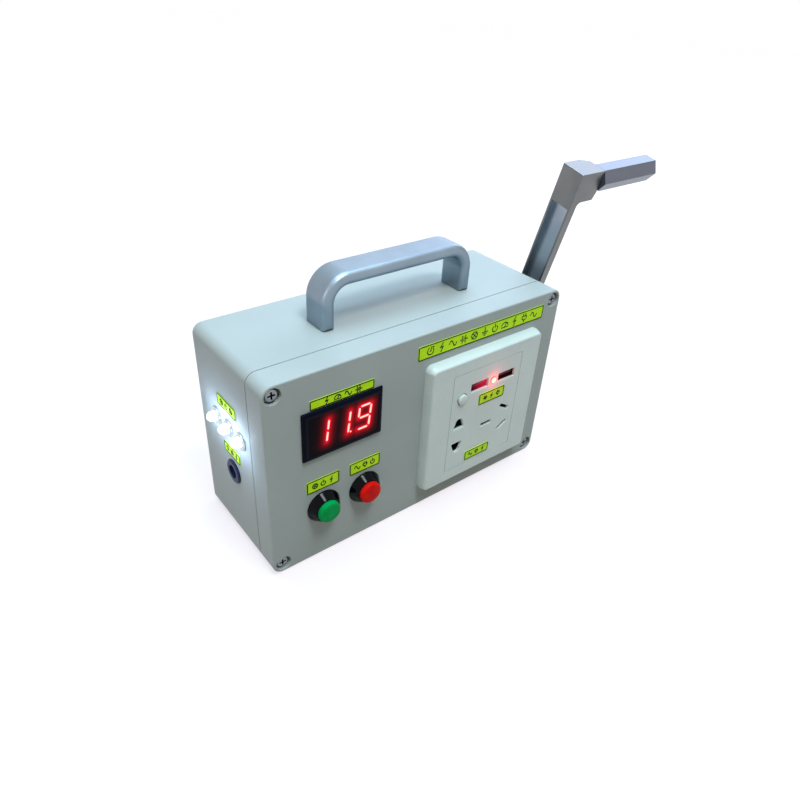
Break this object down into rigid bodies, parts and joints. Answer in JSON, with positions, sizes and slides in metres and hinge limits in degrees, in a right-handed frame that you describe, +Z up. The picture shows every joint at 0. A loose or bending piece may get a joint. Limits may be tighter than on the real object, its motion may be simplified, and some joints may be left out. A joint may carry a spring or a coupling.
{
  "type": "hand crank generator",
  "caption": "Boxed hand crank generator with a folding crank grip, geared dynamo, carry handle, meter, lamps, buttons, mains and charging outlets.",
  "frame": {"origin": "centre of the case's flat bottom face", "axes": "+X along the case toward the crank, +Y from the front panel to the back, +Z up"},
  "size_m": [0.2848, 0.0832, 0.1864],
  "materials": {
    "case_abs": "fine moulded texture",
    "aluminium_satin": "satin anodised",
    "abs_black": "gloss moulded",
    "window_dark": "polished",
    "display_black": "matt",
    "cap_green": "gloss moulded",
    "cap_red": "gloss moulded",
    "lens_clear": "clear epoxy",
    "lens_red": "clear epoxy",
    "label_lime": "printed film",
    "plate_white": "gloss moulded",
    "housing_grey": "moulded",
    "steel_bright": "bright",
    "steel_zinc": "zinc plated",
    "brass": "turned",
    "copper": "enamelled wire",
    "nylon_gear": "moulded",
    "magnet_dark": "ground ferrite",
    "carbon": "pressed",
    "board_green": "solder mask",
    "sleeve_black": "shrink sleeve",
    "cell_blue": "shrink sleeve",
    "rubber_black": "matt"
  },
  "bodies": {
    "case": {"case_body": "case_abs", "case_lid": "case_abs", "lid_gasket": "rubber_black", "lid_screws": "steel_zinc", "top_handle": "aluminium_satin", "handle_screws": "steel_zinc", "meter_bezel": "abs_black", "meter_window": "window_dark", "meter_display": "display_black", "green_button_body": "abs_black", "red_button_body": "abs_black", "button_nuts": "abs_black", "led_bezels": "abs_black", "led_domes": "lens_clear", "dc_socket_body": "abs_black", "dc_socket_pin": "steel_bright", "dc_socket_nut": "abs_black", "labels": "label_lime", "socket_plate": "plate_white", "socket_insert": "plate_white", "socket_housing": "housing_grey", "usb_shells": "steel_bright", "usb_tongues": "plate_white", "usb_board": "board_green", "socket_led": "lens_red", "mains_contacts": "brass", "socket_screws": "steel_zinc", "gear_plate_inner": "steel_zinc", "gear_plate_outer": "steel_zinc", "plate_standoffs": "brass", "gearbox_screws": "steel_zinc", "idler_shaft": "steel_bright", "shaft_bushes": "brass", "generator_can": "steel_zinc", "generator_end_cap": "abs_black", "brushes": "carbon", "field_magnets": "magnet_dark", "inverter_board": "board_green", "transformer": "magnet_dark", "heat_sink": "aluminium_satin", "capacitors": "sleeve_black", "charge_board": "board_green", "battery_holder": "abs_black", "battery_cells": "cell_blue", "battery_contacts": "steel_bright"},
    "crank": {"crank_shaft": "steel_bright", "crank_arm": "aluminium_satin", "hub_screw": "steel_zinc", "drive_gear": "nylon_gear", "grip_pin": "steel_bright"},
    "grip": {"grip": "aluminium_satin"},
    "idler": {"idler_gear": "nylon_gear"},
    "rotor": {"rotor_shaft": "steel_bright", "rotor_pinion": "brass", "armature": "steel_zinc", "windings": "copper", "commutator": "copper"},
    "green_button": {"green_button_cap": "cap_green"},
    "red_button": {"red_button_cap": "cap_red"},
    "usb_switch": {"socket_button": "plate_white"}
  },
  "joints": [
    {"name": "crank_spin", "type": "hinge", "parent": "case", "child": "crank", "pos_m": [0.11, 0.0075, 0.06], "axis": [1, 0, 0], "continuous": true},
    {"name": "grip_fold", "type": "hinge", "parent": "crank", "child": "grip", "pos_m": [0.123, -0.02152, 0.1745], "axis": [0, 0.9732, 0.23], "range_deg": [0, 90]},
    {"name": "idler_spin", "type": "hinge", "parent": "case", "child": "idler", "pos_m": [0.08, 0.0075, 0.0915], "axis": [1, 0, 0], "continuous": true},
    {"name": "rotor_spin", "type": "hinge", "parent": "case", "child": "rotor", "pos_m": [0.05, 0.017, 0.06516], "axis": [1, 0, 0], "continuous": true},
    {"name": "green_press", "type": "slide", "parent": "case", "child": "green_button", "axis": [0, 1, 0], "range_m": [0, 0.0025], "stiffness_N_per_m": 600},
    {"name": "red_press", "type": "slide", "parent": "case", "child": "red_button", "axis": [0, 1, 0], "range_m": [0, 0.0025], "stiffness_N_per_m": 600},
    {"name": "usb_press", "type": "slide", "parent": "case", "child": "usb_switch", "axis": [0, 1, 0], "range_m": [0, 0.001], "stiffness_N_per_m": 900}
  ],
  "couplings": [
    {"joint": "idler_spin", "follows": "crank_spin", "ratio": -4},
    {"joint": "rotor_spin", "follows": "crank_spin", "ratio": 16}
  ]
}
